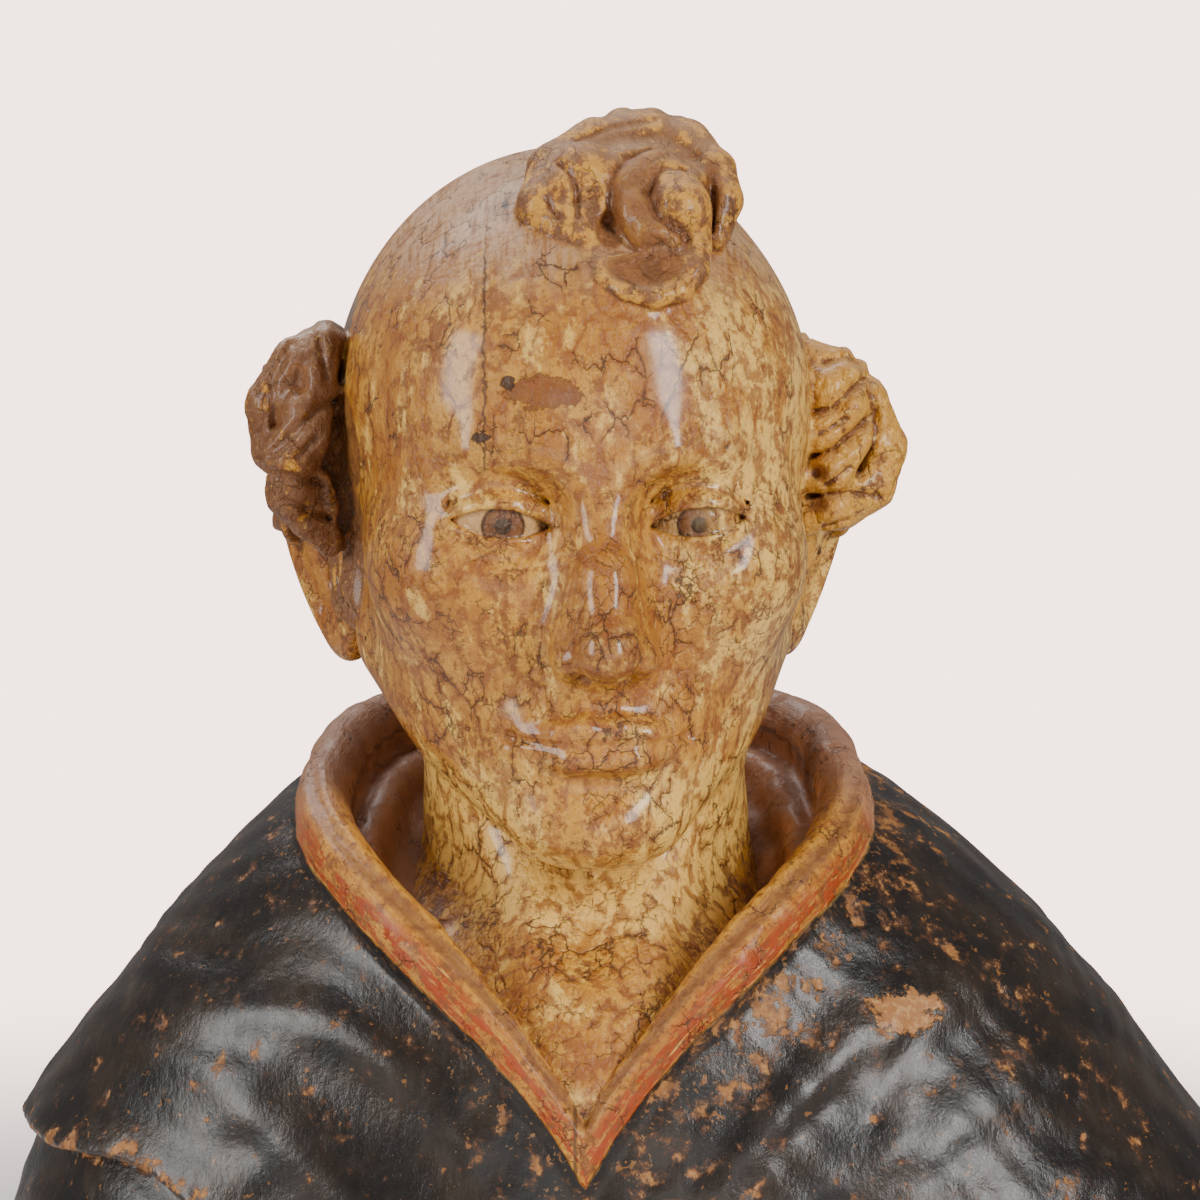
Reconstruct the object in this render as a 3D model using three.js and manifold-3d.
// Wooden bust of a saint in a hooded habit, millimetres, +Z up, facing -Y, flat underside on z = 0.
// The carving is described by distance functions: negative inside the wood, positive outside,
// joined with soft or sharp minimums the way a carver blends one mass into the next.
// A grid with closer lines over the face and the hair turns them into one closed skin,
// and the underside is then cut flat.
import * as THREE from "three";
import { mergeVertices } from "three/addons/utils/BufferGeometryUtils.js";
import Module from "manifold-3d";

// Driving dimensions
const HEAD_AT = [-1, 0, 235]; // eye line at mid skull
const HEAD_TURN = 6; // degrees, towards the figure's left
const HEAD_NOD = 1; // degrees, chin down
const SKULL_CENTRE = [0, 9, 21];
const SKULL_RADII = [67, 82, 74];
const EYE_AT = [26.5, -58.4, -0.5];
const EYE_RADIUS = 13.2;
const EAR_AT = [67.5, 14, -17];
const NECK_X = 2; // axis of neck, hood and cape
const NECK_Y = 12;
const RIM_LOW = 63; // height of the hood's edge at the tip of the V
const RIM_RISE = 104; // from there to the nape
const RIM_BEND = 0.45; // how early the edge climbs
const RIM_RADIUS = 70; // at the sides and the nape
const RIM_REACH = 22; // further out at the V
const ROLL_THICK = 8; // half thickness of the rolled edge
const ROLL_TALL = 9.5; // half its height
const ROLL_SLIM = 0.34; // share of both that it loses at the tip of the V
const CAPE_THICK = 8.5; // step from the cape down to the sleeve
const HEM_LEFT = 57; // height of the cape's hem over each arm
const HEM_RIGHT = 30;
const SLEEVE_LEFT = 166; // reach of each sleeve from the neck's axis
const SLEEVE_RIGHT = 178;
const BASE_SPARE = 6; // wood below z = 0 that the flat cut takes off
const HEAD_REACH = [122, 200]; // no head below the first height, no habit above the second
const TRIANGLES = 9500; // faces kept when the skin is thinned
const SEAT_LIMIT = 1.6; // furthest a skin point moves to reach the true surface

// Grid lines: from, to, step.
const GRID_X = [[-206, -104, 8.5], [-104, -58, 6], [-58, 56, 4.4], [56, 104, 6], [104, 208, 8.5]];
const GRID_Y = [[-110, -46, 4.6], [-46, 46, 6.6], [46, 138, 8.5]];
const GRID_Z = [[-8, 4, 12], [4, 66, 5.2], [66, 138, 8.4], [138, 262, 4.5], [262, 352, 6]];

// Masses of hair beside each ear as chains of rods, points and radii, on the +X side of the head.
const LEFT_MASSES = [
  [[[69, -2, 42], [77, -5, 36], [84, -4, 25], [83.5, -3, 12]], [6, 7.6, 7.6, 6.5]],
  [[[69.5, -8, 42], [72, -12, 32], [76, -14, 23], [80, -13, 12], [79, -10, 1]], [4.5, 5.2, 5.6, 6.6, 6.8]],
  [[[79, -10, 1], [74.5, -8, -6], [68.5, -5, -13]], [6.4, 5.4, 4]],
  [[[68, -12, 26], [73, -14, 18], [79, -13, 10]], [4, 6.2, 6]],
  [[[71, -12, 5], [68, -11, -2], [66, -9, -9]], [2.4, 1.8, 1.4]],
];
const RIGHT_MASSES = [
  [
    [[66, -3, 36], [73, -5, 33], [81, -5, 25], [87, -4, 12], [84, -5, 1], [75, -6, -6]],
    [6, 6.8, 7, 7, 6.5, 5],
  ],
  [[[63, -7, 29], [70, -11, 29], [75, -12, 32]], [5, 6, 4]],
  [[[63, -8, 15], [69, -12, 18], [76, -13, 24]], [5, 6.4, 5]],
  [[[63.5, -9, 3], [71, -13, 7], [79, -12, 14]], [4.6, 6, 5]],
  [[[64, -8, -8], [72, -11, -4], [79, -9, 2]], [4.4, 5.4, 4.5]],
];
// Hollows between them: centre and radii.
const LEFT_HOLLOWS = [[[62.5, -13, 16], [6.5, 13, 12.5]], [[62.5, -12, -6], [4, 10, 7]]];
// Plain spiral locks at the side and behind: place, facing, radii, angles, thicknesses, rise.
// Facing is degrees round from the front; each pair is the first and last value along the lock.
const SIDE_LOCKS = [
  [[78, 18, 21], 80, [11, 3], [150, -170], [7.4, 5.4], 3],
  [[76, 22, -4], 85, [11, 3], [60, 350], [7, 5], 2],
  [[76, 42, 12], 105, [12, 3], [110, -200], [7.8, 5.2], 2],
  [[66, 11, 31], 70, [8, 4], [170, -20], [5.6, 4], 0],
];
// The curl over the forehead in its own axes, to the right, up and out.
const CURL_AT = [14.5, -48, 79.5];
const CURL_OUT = [0.06, -0.8, 0.6];
const CURL_MASSES = [
  [[[-27, 3, -4], [-23, 15, -5], [-12, 23, -6], [3, 26, -6], [14, 23, -5]], [7, 8, 8.5, 8.5, 7.5]],
  [[[14, 23, -4], [19.5, 14, -1], [20.5, 4, 0], [18.5, -6, -2]], [6.8, 6.4, 6.4, 4.4]],
  [[[-26, 1, -2], [-17, 9, 0]], [9, 10.5]],
  [[[-21, -6, -1], [-17, -13, -1]], [8.5, 6.5]],
  [[[2, 7.5, 4], [-3.5, 3, 5], [-3.5, -5, 6], [-0.5, -11.5, 7], [5, -13.5, 7]], [8, 7.6, 7, 6, 5]],
  [[[3, 8, 4], [10, 4, 4], [11, -5, 5], [11.5, -14, 5], [10.5, -22, 5]], [7.8, 6.5, 6, 4.6, 3.8]],
  [[[10.5, -22, 5], [6.5, -29, 6], [-1, -32, 6.5], [-9, -30, 6], [-16, -25, 4]], [3.8, 3.1, 2.8, 2.4, 1.8]],
  [[[-17, -20, 1], [-7, -24, 2], [3, -23, 3]], [4.5, 7, 7]],
  [[[5.5, 1, 8], [7.5, -5, 9]], [7.4, 8.6]],
];
const CURL_HOLLOWS = [[[-11.5, -10, 6], [2.8, 5, 9]], [[-5, -22.5, 12.5], [12.5, 7.4, 6.4]]];
const SWEPT_BACK = [0, 10, 20, 29]; // x of the strands that run from the curl over the crown
// Folds round the front of the cape: depth below the hood's edge, how deep, how wide, phase.
const FRONT_FOLDS = [[0.4, 3.2, 0.085, 0.5], [0.66, 3.2, 0.1, 1.9], [0.95, 3, 0.11, 3.1]];
// Long folds behind: angle round the neck and lean.
const BACK_FOLDS = [[-2.75, 0.06], [-2.25, -0.1], [-1.75, 0.12], [1.85, 0.1], [2.35, -0.08], [2.85, 0.1]];
const BACK_FOLD_DEEP = 3.4;

// Small maths
const radians = (degrees) => (degrees * Math.PI) / 180;
const clamp = (v, low, high) => Math.min(Math.max(v, low), high);
const ease = (v) => {
  const t = clamp(v, 0, 1);
  return t * t * (3 - 2 * t);
};
const mix = (pair, t) => pair[0] + (pair[1] - pair[0]) * t;
const dot = (a, b) => a[0] * b[0] + a[1] * b[1] + a[2] * b[2];
const minus = (a, b) => [a[0] - b[0], a[1] - b[1], a[2] - b[2]];
const cross = (a, b) => [a[1] * b[2] - a[2] * b[1], a[2] * b[0] - a[0] * b[2], a[0] * b[1] - a[1] * b[0]];
const unit = (a) => a.map((v) => v / Math.hypot(...a));
const mirrored = (p) => [Math.abs(p[0]), p[1], p[2]];

// Soft join and soft cut of two distances; k is the width of the blend.
function join(a, b, k) {
  const h = Math.max(k - Math.abs(a - b), 0) / k;
  return Math.min(a, b) - h * h * k * 0.25;
}
const carve = (a, b, k) => -join(-a, -b, k);

function ball(p, centre, radius) {
  return Math.hypot(p[0] - centre[0], p[1] - centre[1], p[2] - centre[2]) - radius;
}

function egg(p, centre, radii) {
  const q = minus(p, centre);
  const k0 = Math.hypot(q[0] / radii[0], q[1] / radii[1], q[2] / radii[2]);
  const k1 = Math.hypot(q[0] / radii[0] ** 2, q[1] / radii[1] ** 2, q[2] / radii[2] ** 2);
  return (k0 * (k0 - 1)) / Math.max(k1, 1e-6);
}

// A rod from a to b whose radius changes evenly.
function rod(p, a, b, ra, rb) {
  const ab = minus(b, a);
  const ap = minus(p, a);
  const t = clamp(dot(ap, ab) / dot(ab, ab), 0, 1);
  return Math.hypot(ap[0] - t * ab[0], ap[1] - t * ab[1], ap[2] - t * ab[2]) - mix([ra, rb], t);
}

function chain(p, points, radii, k) {
  let d = Infinity;
  for (let i = 1; i < points.length; i++) {
    const next = rod(p, points[i - 1], points[i], radii[i - 1], radii[i]);
    d = i === 1 ? next : join(d, next, k);
  }
  return d;
}

// The three directions of a frame turned by each [axis, degrees], the last one first.
function frameOf(...turns) {
  const m = new THREE.Matrix4();
  for (const [axis, degrees] of turns) {
    m.multiply(new THREE.Matrix4().makeRotationAxis(new THREE.Vector3(...axis), radians(degrees)));
  }
  return [0, 4, 8].map((c) => m.elements.slice(c, c + 3));
}
const seenFrom = (p, at, frame) => frame.map((direction) => dot(minus(p, at), direction));
const AXIS_X = [1, 0, 0];
const AXIS_Y = [0, 1, 0];
const AXIS_Z = [0, 0, 1];

// Head: its own frame has the eye line at the origin and the face towards -Y
const headFrame = frameOf([AXIS_Z, HEAD_TURN], [AXIS_X, HEAD_NOD]);
const earFrame = frameOf([AXIS_Y, 11], [AXIS_X, 10], [AXIS_Z, 58]);

// Cranium, forehead, lower face, cheeks, jaw and chin.
function skull(q) {
  const m = mirrored(q);
  let d = egg(q, SKULL_CENTRE, SKULL_RADII);
  d = join(d, egg(q, [0, -27, 32], [57, 50, 50]), 16);
  d = join(d, egg(q, [0, -27, -32], [52, 49, 54]), 22);
  d = join(d, egg(m, [36, -42, -15], [21, 25, 19]), 20);
  d = join(d, rod(m, [46, -3, -40], [13, -59, -78], 14, 13.5), 18);
  return join(d, egg(q, [0, -66, -82], [15, 14, 12.5]), 12);
}

function brow(q, d) {
  const m = mirrored(q);
  const ridge = [[7, -71, 12], [18, -71.5, 16.5], [31, -65, 17.5], [43, -51, 12]];
  const raised = join(d, chain(m, ridge, [5.2, 4.4, 4.2, 4.5], 3), 12);
  return carve(raised, -egg(m, [26, -80, 0.5], [18, 13.5, 11.5]), 9);
}

function nose(q, d) {
  const m = mirrored(q);
  const bridge = [[0, -69.5, 12], [0, -74, 1], [0, -81.5, -15], [0, -87.5, -30]];
  let n = chain(m, bridge, [6.8, 5.6, 6.2, 7], 6);
  n = join(n, rod(m, [0, -60, 4], [0, -73, -31], 10, 14.5), 8);
  n = join(n, egg(m, [0, -89, -33.5], [8.4, 8.8, 8]), 4);
  n = join(n, egg(m, [9.6, -80.5, -35.8], [5, 8.2, 6]), 3);
  return join(d, n, 6);
}

// The lids are a shell over the eyeball, opened by an almond slit.
function eyes(q, d) {
  const m = mirrored(q);
  const u = m[0] - EYE_AT[0];
  const z = m[2] - EYE_AT[2];
  if (Math.abs(u) > 24 || Math.abs(z) > 22 || m[1] > -36) return d;
  const eyeball = ball(m, EYE_AT, EYE_RADIUS);
  const middle = -1.2 + 0.07 * u;
  const bow = clamp(1 - (u / 13.6) ** 2, -1, 1);
  const slit = Math.max(z - middle - 4.4 * bow, middle - 3.6 * bow - z) * 0.85;
  const lids = eyeball - 1.7 - 0.6 * ease((z - middle) / 5);
  const closed = join(d, lids, 3);
  const opened = carve(closed, -Math.max(slit, -eyeball), 0.6);
  return join(opened, eyeball, 0.3);
}

function mouth(q, d) {
  const m = mirrored(q);
  const upper = [[0, -79.6, -55.8], [4.5, -79.6, -54.9], [12, -77, -56.4], [23, -68.6, -58.6]];
  const lower = [[0, -78.4, -63.2], [8, -77.4, -62.9], [19, -70.6, -60.6]];
  const parting = [[0, -85, -59], [6, -84.4, -59.5], [14, -79, -59.2], [24, -69.8, -58.2]];
  let e = join(d, egg(m, [0, -57, -57], [28, 21, 18]), 10);
  e = join(e, chain(m, upper, [2.9, 3.2, 3, 1.4], 1.5), 3);
  e = join(e, chain(m, lower, [4.2, 4, 1.8], 2), 3);
  e = carve(e, -chain(m, parting, [0.9, 0.9, 0.9, 0.8], 0.5), 1.4);
  return carve(e, -egg(m, [0, -84, -71.5], [13, 6, 3.2]), 6);
}

// A tilted plate with a thick rim, a lobe and a hollow.
function ear(q, d) {
  const m = mirrored(q);
  if (m[0] < 44 || Math.abs(m[1] - 16) > 40 || Math.abs(m[2] + 16) > 46) return d;
  const p = seenFrom(m, EAR_AT, earFrame);
  const [u, w, v] = p;
  const width = 14.5 + 3.5 * clamp(v / 26, -1, 1);
  const rho = Math.hypot(u / width, v / 28);
  const plate = carve((rho - 1) * 13, Math.abs(w) - 2.6, 3);
  const helix = Math.hypot((rho - 0.93) * 15, w + 1.6) - 2.9;
  let made = join(plate, helix, 1.6);
  made = join(made, egg(p, [-3, -0.5, -23.5], [7, 4.6, 8]), 4);
  made = join(made, egg(p, [-11.5, -3, -4], [3.6, 3.2, 5.5]), 2.5);
  let e = join(d, egg(p, [-6, 7, 0], [9, 9, 20]), 6);
  e = join(e, made, 3);
  return carve(e, -egg(p, [-4, -4.6, -3], [6.6, 6.4, 9.5]), 1.8);
}

// A lock that winds in a spiral in the plane of right and up, rising along their normal.
function lock(p, centre, right, up, radius, angle, thick, rise) {
  const reach = Math.max(...radius) + Math.max(...thick) + Math.abs(rise) + 8;
  const v = minus(p, centre);
  if (Math.max(Math.abs(v[0]), Math.abs(v[1]), Math.abs(v[2])) > reach) return 25;
  const backwards = angle[1] < angle[0] ? -1 : 1;
  const [from, to] = angle.map((a) => radians(a) * backwards);
  const x = dot(v, right);
  const y = dot(v, up) * backwards;
  const w = dot(v, cross(right, up));
  const around = Math.atan2(y, x);
  let best = 25;
  const first = Math.floor((from + Math.PI) / (2 * Math.PI));
  const last = Math.floor((to + Math.PI) / (2 * Math.PI));
  for (let k = first; k <= last; k++) {
    const a = clamp(around + 2 * Math.PI * k, from, to);
    const s = (a - from) / (to - from);
    const r = mix(radius, s);
    const gap = Math.hypot(x - r * Math.cos(a), y - r * Math.sin(a), w - rise * s);
    best = Math.min(best, gap - mix(thick, s));
  }
  return best;
}

function masses(q, start, chains, blend, soft, hollows) {
  let d = start;
  for (const [points, radii] of chains) d = join(d, chain(q, points, radii, blend), soft);
  for (const [centre, radii] of hollows) d = carve(d, -egg(q, centre, radii), 2);
  return d;
}

function tuft(q, side, chains, hollows) {
  const m = [q[0] * side, q[1], q[2]];
  if (m[0] < 48) return 25;
  let d = egg(m, [70, 22, 11], [12, 27, 25]);
  for (const [at, facing, radius, angle, thick, rise] of SIDE_LOCKS) {
    const f = radians(facing);
    const right = [Math.cos(f), Math.sin(f), 0];
    d = join(d, lock(m, at, right, [0, 0, 1], radius, angle, thick, rise), 2);
  }
  return masses(m, d, chains, 4, 4, hollows);
}

const curlOut = unit(CURL_OUT);
const curlRight = unit(minus([1, 0, 0], curlOut.map((v) => v * curlOut[0])));
const curlUp = cross(curlOut, curlRight);
function curl(q) {
  const v = minus(q, CURL_AT);
  const c = [dot(v, curlRight), dot(v, curlUp), dot(v, curlOut)];
  let d = masses(c, egg(c, [-2, 4, -8], [24, 20, 18]), CURL_MASSES, 3, 2.2, CURL_HOLLOWS);
  SWEPT_BACK.forEach((x, i) => {
    const sway = 3 * Math.sin(2 * i);
    const tail = [0.45 * x + 14, 18 + 6 * (i % 2), 96];
    const spine = [[x, -40, 86], [x + sway, -22, 98], [0.8 * x + 5, -3, 100], tail];
    const laid = spine.map(([a, b, c]) => [a, b, c - 0.02 * (a - 17) ** 2]);
    d = join(d, chain(q, laid, [8.5, 7.2, 5.4, 1.4], 3), 2);
  });
  return d;
}

// Wavy locks side by side from ear to ear, ending in points at the nape.
function backHair(q, skullDistance) {
  const [x, y, z] = q;
  const a = Math.atan2(x, y);
  const around = Math.abs(a);
  const cell = a * 10.5 + 1.1 * Math.sin(z / 9.5 + 1.2 * Math.sin(2.3 * a));
  const ridge = Math.abs(Math.cos(cell));
  const top = 36 + 7 * ridge - 5 * around;
  const low = -34 - 13 * ridge + 8 * ease(around - 0.8);
  const band = ease(Math.min(top - z, z - low) / 10) ** 0.6;
  const inside = band * ease((1.8 - around) / 0.25);
  return skullDistance - ((3 + 5 * ridge ** 0.55) * inside - 1.5 * (1 - inside));
}

// Neck and chest, in the part's frame
function skin(p) {
  const m = mirrored(minus(p, [3, 0, 0]));
  let d = rod(p, [4, 14, 96], [1, 3, 178], 49, 44);
  d = join(d, rod(m, [38, -4, 176], [8, -50, 114], 8, 7), 13);
  d = join(d, egg(p, [2, -2, 74], [77, 79, 62]), 16);
  return carve(d, -egg(p, [3, -66, 124], [8, 9, 7]), 12);
}

// Habit: angle a runs round the neck's axis, 0 at the front, positive towards +X
function rimHeight(a) {
  const s = Math.abs(Math.sin(a / 2));
  return RIM_LOW + (RIM_RISE * s * (1 + RIM_BEND)) / (s + RIM_BEND);
}

const rimRadius = (a) => RIM_RADIUS + RIM_REACH * Math.max(Math.cos(a), 0) ** 1.1;

// Soft folds that hang round the neck like the hood's edge, and long ones behind.
// u is the depth below the hood's edge, in tenths of a metre.
function folds(a, u) {
  const around = Math.abs(a);
  const front = ease((1.9 - around) / 0.7) * ease((around - 0.16) / 0.4);
  let f = 0;
  for (const [at, deep, wide, phase] of FRONT_FOLDS) {
    const line = at + 0.05 * Math.sin(3 * a + phase) + 0.05 * Math.sin(5 * a + 2 * phase);
    f += deep * Math.exp(-(((u - line) / wide) ** 2)) * front;
  }
  for (const [at, lean] of BACK_FOLDS) {
    f += BACK_FOLD_DEEP * Math.exp(-(((a - at - lean * u) / 0.12) ** 2)) * ease((u - 0.55) / 0.5);
  }
  return f;
}

// Thickness that the hood, laid down on the back, adds over the cape.
function hoodFall(a, u) {
  const b = (Math.PI - Math.abs(a)) / 1.12;
  const within = 1 - b * b - (Math.max(u, 0) / 1.12) ** 2;
  const thick = (4 + 12 * ease(u / 0.35)) * Math.sqrt(ease(within / 0.35));
  const line = u + 0.3 * b * b;
  const drape = 2.4 * Math.cos(line * 19) + 0.8 * Math.cos(line * 41 + 2 * b);
  return thick + drape * ease(within / 0.5) * ease((u - 0.05) / 0.2);
}

function habit(p) {
  const x = p[0] - NECK_X;
  const y = p[1] - NECK_Y;
  const z = p[2];
  const r = Math.hypot(x, y);
  const a = Math.atan2(x, -y);
  const h = rimHeight(a);
  const rho = rimRadius(a);
  const u = Math.max((h - z) / 100, 0.004);

  // cape: falls away from the hood's edge, far at the shoulders, little at front and back
  const flat = Math.cos(a) > 0 ? 16 : 27;
  const wide = a > 0 ? 109 : 90;
  const power = a > 0 ? 0.66 : 0.7;
  const grow = flat + (wide - flat) * (Math.sin(a) ** 2) ** 1.7;
  const slope = Math.min((grow * power * u ** (power - 1)) / 100, 3);
  const steep = 1 / Math.hypot(1, slope);
  const outer = rho + grow * u ** power + folds(a, u) * ease(u / 0.25) + hoodFall(a, u);
  const hemSide = a < 0 ? HEM_LEFT : HEM_RIGHT;
  const hem = -30 + (hemSide + 30) * ease((Math.abs(Math.sin(a)) - 0.42) / 0.5);
  const cape = carve((r - outer) * steep, (hem - z) * 0.85, 3);

  // sleeves and body under the hem
  const side = a < 0 ? SLEEVE_LEFT : SLEEVE_RIGHT;
  const reach = side * Math.abs(Math.sin(a)) ** 0.9 + 96 * Math.cos(a) ** 2 + 12 * clamp(0.4 - z / 60, 0, 1);
  const under = (r - join(outer - CAPE_THICK, reach, 16)) * steep;

  // funnel between the hood's edge and the neck
  const top = (z - (h - 1 - 0.72 * clamp(rho - r, -20, 30))) * 0.78;
  let d = carve(Math.min(cape, under), top, 4);

  // rolled edge, and a second fold inside it
  const s = Math.abs(Math.sin(a / 2));
  const climb = (RIM_RISE * (1 + RIM_BEND) * RIM_BEND * 0.5 * Math.cos(a / 2)) / (s + RIM_BEND) ** 2 / rho;
  const lean = 1 / Math.hypot(1, climb);
  const inner = Math.hypot((r - rho + 13) / 5, ((z - h + 13) * lean) / 7) * 5.6 - 5.6;
  d = join(d, inner + 4 * (1 - ease((Math.abs(a) - 0.75) / 0.5)), 4);
  const size = 1 - ROLL_SLIM * (1 - ease((Math.abs(a) - 0.08) / 0.45));
  const roll = Math.hypot((r - rho - 0.5) / ROLL_THICK, ((z - h) * lean) / ROLL_TALL) - size;
  return join(d, roll * (ROLL_THICK + 0.6), 2.5);
}

// The whole figure, ending a little below its flat underside.
function figure(p) {
  if (p[2] < HEAD_REACH[0]) return Math.max(join(habit(p), skin(p), 1.5), -BASE_SPARE * 0.8 - p[2]);
  const q = seenFrom(p, HEAD_AT, headFrame);
  const bone = skull(q);
  const face = ear(q, mouth(q, eyes(q, nose(q, brow(q, bone)))));
  const flesh = join(face, skin(p), 5);
  const sides = Math.min(tuft(q, -1, LEFT_MASSES, LEFT_HOLLOWS), tuft(q, 1, RIGHT_MASSES, []));
  const hair = join(Math.min(sides, curl(q)), backHair(q, bone), 2.5);
  const head = join(flesh, hair, 1.2);
  return p[2] > HEAD_REACH[1] ? head : join(habit(p), head, 1.5);
}

function gridLines(runs) {
  const lines = [];
  for (const [from, to, step] of runs) {
    const count = Math.max(1, Math.round((to - from) / step));
    for (let i = 0; i < count; i++) lines.push(from + ((to - from) * i) / count);
  }
  lines.push(runs[runs.length - 1][1]);
  return lines;
}

// Distances at every grid point, row after row along z, then y, then x.
function sample(xs, ys, zs) {
  const values = new Float64Array(xs.length * ys.length * zs.length);
  let n = 0;
  for (const x of xs) {
    for (const y of ys) {
      for (const z of zs) values[n++] = figure([x, y, z]);
    }
  }
  return values;
}

// Marks every grid point that can be reached from the first one through points of its own kind.
function reached(values, sizes, first) {
  const step = [sizes[1] * sizes[2], sizes[2], 1];
  const inside = values[first] < 0;
  const seen = new Uint8Array(values.length);
  const queue = [first];
  seen[first] = 1;
  while (queue.length) {
    const n = queue.pop();
    const at = [Math.floor(n / step[0]), Math.floor(n / step[1]) % sizes[1], n % sizes[2]];
    for (let axis = 0; axis < 3; axis++) {
      for (const way of [-1, 1]) {
        const next = at[axis] + way;
        const m = n + way * step[axis];
        if (next < 0 || next >= sizes[axis] || seen[m] || values[m] < 0 !== inside) continue;
        seen[m] = 1;
        queue.push(m);
      }
    }
  }
  return seen;
}

// Fills hollows that the air can't reach and drops bits that hang on nothing.
function fillHollows(values, sizes, heart) {
  let changed = 0;
  const air = reached(values, sizes, 0);
  const wood = reached(values, sizes, heart);
  values.forEach((v, n) => {
    if (air[n] || wood[n]) return;
    values[n] = v < 0 ? 0.05 : -0.05;
    changed++;
  });
  return changed;
}

// Where inside and outside corners alternate round a small square the skin would pinch,
// so the outside corner nearer the surface is filled; repeated until no square is left.
function fillPinches(values, sizes) {
  const step = [sizes[1] * sizes[2], sizes[2], 1];
  let total = 0;
  let filled = 1;
  while (filled) {
    filled = 0;
    for (const [u, v] of [[0, 1], [1, 2], [0, 2]]) {
      const size = [...sizes];
      size[u]--;
      size[v]--;
      for (let i = 0; i < size[0]; i++) {
        for (let j = 0; j < size[1]; j++) {
          for (let k = 0; k < size[2]; k++) {
            const a = i * step[0] + j * step[1] + k;
            const corners = [a, a + step[u], a + step[u] + step[v], a + step[v]];
            const inside = corners.map((c) => values[c] < 0);
            if (inside[0] !== inside[2] || inside[1] !== inside[3] || inside[0] === inside[1]) continue;
            const [p, q] = corners.filter((c, n) => !inside[n]);
            values[values[p] < values[q] ? p : q] = -0.05;
            filled++;
          }
        }
      }
    }
    total += filled;
  }
  return total;
}

// One skin point in every grid cell that the surface crosses, at the mean of the crossings.
function skinPoints(values, xs, ys, zs) {
  const lines = [xs, ys, zs];
  const step = [ys.length * zs.length, zs.length, 1];
  const points = [];
  const indexOf = new Map();
  for (let i = 0; i < xs.length - 1; i++) {
    for (let j = 0; j < ys.length - 1; j++) {
      for (let k = 0; k < zs.length - 1; k++) {
        const at = [i, j, k];
        const base = i * step[0] + j * step[1] + k;
        const sum = [0, 0, 0];
        let count = 0;
        for (let corner = 0; corner < 8; corner++) {
          const bits = [corner & 1, (corner >> 1) & 1, (corner >> 2) & 1];
          const from = base + bits[0] * step[0] + bits[1] * step[1] + bits[2];
          for (let axis = 0; axis < 3; axis++) {
            if (bits[axis]) continue;
            const to = from + step[axis];
            if (values[from] < 0 === values[to] < 0) continue;
            const t = values[from] / (values[from] - values[to]);
            const place = lines.map((line, n) => line[at[n] + bits[n]]);
            place[axis] += t * (lines[axis][at[axis] + 1] - lines[axis][at[axis]]);
            place.forEach((v, n) => (sum[n] += v));
            count++;
          }
        }
        if (!count) continue;
        indexOf.set(base, points.length);
        points.push(sum.map((v) => v / count));
      }
    }
  }
  return { points, indexOf };
}

// Moves a skin point along the surface's normal until it sits on the carving.
function seat(point) {
  const h = 0.4;
  const p = [...point];
  for (let round = 0; round < 2; round++) {
    const d = figure(p);
    const slope = [0, 1, 2].map((n) => {
      const ahead = [...p];
      const behind = [...p];
      ahead[n] += h;
      behind[n] -= h;
      return (figure(ahead) - figure(behind)) / (2 * h);
    });
    const steep = Math.max(dot(slope, slope), 0.25);
    slope.forEach((g, n) => (p[n] -= (0.9 * d * g) / steep));
  }
  const moved = minus(p, point);
  const scale = Math.min(1, SEAT_LIMIT / Math.max(Math.hypot(...moved), 1e-9));
  return point.map((v, n) => v + moved[n] * scale);
}

// Four cells meet at every crossed grid line: two triangles, split along the diagonal
// whose middle lies nearer the carving.
function skinTriangles(values, sizes, indexOf, points) {
  const step = [sizes[1] * sizes[2], sizes[2], 1];
  const triangles = [];
  const middle = (a, b) => Math.abs(figure(points[a].map((v, n) => (v + points[b][n]) / 2)));
  for (let i = 0; i < sizes[0] - 1; i++) {
    for (let j = 0; j < sizes[1] - 1; j++) {
      for (let k = 0; k < sizes[2] - 1; k++) {
        const at = [i, j, k];
        const base = i * step[0] + j * step[1] + k;
        const inside = values[base] < 0;
        for (let axis = 0; axis < 3; axis++) {
          if (at[(axis + 1) % 3] === 0 || at[(axis + 2) % 3] === 0) continue;
          if (inside === values[base + step[axis]] < 0) continue;
          const u = step[(axis + 1) % 3];
          const v = step[(axis + 2) % 3];
          const ring = [base - u - v, base - v, base, base - u].map((c) => indexOf.get(c));
          if (!inside) ring.reverse();
          const [a, b, c, d] = ring;
          if (middle(a, c) <= middle(b, d)) triangles.push(a, b, c, a, c, d);
          else triangles.push(b, c, d, b, d, a);
        }
      }
    }
  }
  return triangles;
}

// A point's ten sums give the squared distance to the planes of the faces it stands for.
function planeSums(a, b, c) {
  const across = cross(minus(b, a), minus(c, a));
  const area = Math.hypot(...across);
  const n = area > 0 ? across.map((v) => v / area) : [0, 0, 0];
  const e = [...n, -dot(n, a)];
  const sums = [];
  for (let i = 0; i < 4; i++) {
    for (let j = i; j < 4; j++) sums.push(e[i] * e[j] * area);
  }
  return sums;
}

function misfit(sums, p) {
  const e = [...p, 1];
  let total = 0;
  let n = 0;
  for (let i = 0; i < 4; i++) {
    for (let j = i; j < 4; j++) total += sums[n++] * e[i] * e[j] * (i === j ? 1 : 2);
  }
  return Math.max(total, 0);
}

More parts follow.
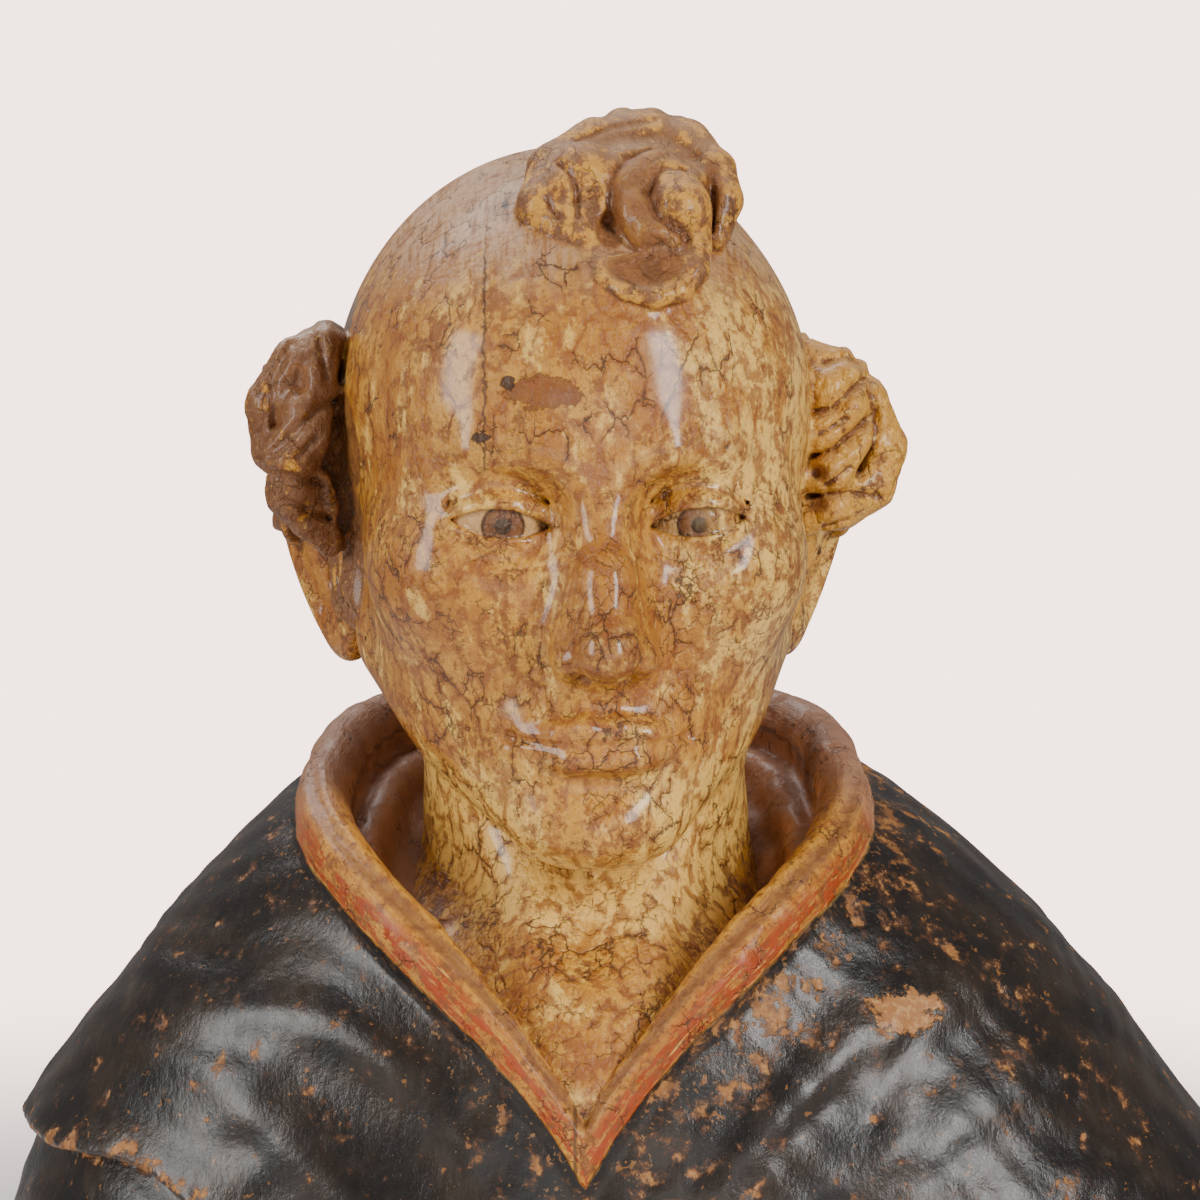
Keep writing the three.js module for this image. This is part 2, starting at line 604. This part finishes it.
// Edges are folded up where the skin is nearly flat, least change first, until target faces are left.
function thinned(points, triangles, target) {
  const place = points.map((p) => [...p]);
  const faces = [];
  for (let i = 0; i < triangles.length; i += 3) faces.push(triangles.slice(i, i + 3));
  const around = place.map(() => new Set());
  const sums = place.map(() => new Float64Array(10));
  faces.forEach((face, f) => {
    const plane = planeSums(...face.map((v) => place[v]));
    for (const v of face) {
      around[v].add(f);
      plane.forEach((value, n) => (sums[v][n] += value));
    }
  });
  const neighbours = (v) => {
    const found = new Set();
    for (const f of around[v]) faces[f].forEach((w) => w !== v && found.add(w));
    return found;
  };
  const normal = (face, moved, spot) => {
    const [a, b, c] = face.map((v) => (moved.includes(v) ? spot : place[v]));
    return cross(minus(b, a), minus(c, a));
  };
  // True when no face left round the fold turns over or becomes a sliver.
  const staysSound = (a, b, spot) => {
    for (const f of new Set([...around[a], ...around[b]])) {
      const face = faces[f];
      if (face.includes(a) && face.includes(b)) continue;
      const before = normal(face, [], spot);
      const after = normal(face, [a, b], spot);
      const size = Math.hypot(...after);
      if (dot(before, after) < 0.5 * Math.hypot(...before) * size) return false;
      const corners = face.map((v) => (v === a || v === b ? spot : place[v]));
      const longest = Math.max(...corners.map((c, n) => Math.hypot(...minus(c, corners[(n + 1) % 3]))));
      if (size < 0.12 * longest * longest) return false;
    }
    return true;
  };
  let left = faces.length;
  for (let limit = 0.05; left > target; limit *= 1.35) {
    for (let a = 0; a < place.length && left > target; a++) {
      for (const b of neighbours(a)) {
        if (b < a) continue;
        const both = sums[a].map((v, n) => v + sums[b][n]);
        const halfway = place[a].map((v, n) => (v + place[b][n]) / 2);
        const spots = [halfway, place[a], place[b]].map((spot) => [misfit(both, spot), spot]);
        const [cost, spot] = spots.reduce((best, next) => (next[0] < best[0] ? next : best));
        if (cost > limit) continue;
        const near = neighbours(b);
        if ([...neighbours(a)].filter((v) => near.has(v)).length !== 2) continue;
        if (!staysSound(a, b, spot)) continue;
        for (const f of [...around[b]]) {
          if (faces[f].includes(a)) {
            faces[f].forEach((v) => around[v].delete(f));
            faces[f] = null;
            left--;
          } else {
            faces[f] = faces[f].map((v) => (v === b ? a : v));
            around[a].add(f);
          }
        }
        around[b].clear();
        place[a] = spot;
        sums[a] = both;
        break;
      }
    }
  }
  return { points: place, triangles: faces.filter(Boolean).flat() };
}

function carvedGeometry() {
  const xs = gridLines(GRID_X);
  const ys = gridLines(GRID_Y);
  const zs = gridLines(GRID_Z);
  const sizes = [xs.length, ys.length, zs.length];
  const values = sample(xs, ys, zs);
  const heart = values.indexOf(values.reduce((a, b) => Math.min(a, b)));
  while (fillHollows(values, sizes, heart) + fillPinches(values, sizes));
  const { points, indexOf } = skinPoints(values, xs, ys, zs);
  const seated = points.map(seat);
  const thin = thinned(seated, skinTriangles(values, sizes, indexOf, seated), TRIANGLES);
  const geometry = new THREE.BufferGeometry();
  geometry.setAttribute("position", new THREE.Float32BufferAttribute(thin.points.flat(), 3));
  geometry.setIndex(thin.triangles);
  return geometry;
}

// Flat underside
const wasm = await Module();
wasm.setup();

function solidOf(geometry) {
  const bare = new THREE.BufferGeometry().setAttribute("position", geometry.getAttribute("position"));
  bare.setIndex(geometry.getIndex());
  const merged = mergeVertices(bare, 1e-4);
  const vertProperties = new Float32Array(merged.getAttribute("position").array);
  const triVerts = new Uint32Array(merged.getIndex().array);
  return new wasm.Manifold(new wasm.Mesh({ numProp: 3, vertProperties, triVerts }));
}

function geometryOf(solid) {
  const mesh = solid.getMesh();
  const geometry = new THREE.BufferGeometry();
  geometry.setAttribute("position", new THREE.BufferAttribute(new Float32Array(mesh.vertProperties), 3));
  geometry.setIndex(new THREE.BufferAttribute(new Uint32Array(mesh.triVerts), 1));
  geometry.computeVertexNormals();
  return geometry;
}

const offcut = new THREE.BoxGeometry(600, 500, 40).translate(0, 0, -20);
const bust = solidOf(carvedGeometry()).subtract(solidOf(offcut));

const wood = new THREE.MeshStandardMaterial({ color: 0x8a6238, roughness: 0.55, metalness: 0 });
const carving = new THREE.Mesh(geometryOf(bust), wood);
carving.name = "saint_bust";

const group = new THREE.Group();
group.name = "wooden_saint_bust";
group.add(carving);
export default group;
